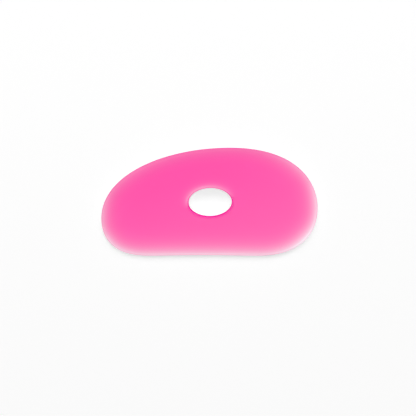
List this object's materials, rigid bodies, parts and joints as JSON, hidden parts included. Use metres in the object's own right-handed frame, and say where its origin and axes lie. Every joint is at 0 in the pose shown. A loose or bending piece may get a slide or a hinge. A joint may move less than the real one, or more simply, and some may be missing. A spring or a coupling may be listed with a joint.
{
  "type": "pottery rib",
  "caption": "Flexible kidney-shaped rib for shaping clay: flat back, front bevelled to a thin edge all round, oval finger hole through the middle.",
  "frame": {"origin": "on the flat back, under the middle of the outline's box", "axes": "+X along the rib's length towards the fuller heel, +Y towards the arched edge, +Z out of the bevelled front; the rib lies on its back at z = 0"},
  "size_m": [0.0888, 0.0444, 0.0048],
  "materials": {
    "cast_polymer": "satin"
  },
  "bodies": {
    "root": {"rib": "cast_polymer"}
  },
  "joints": []
}
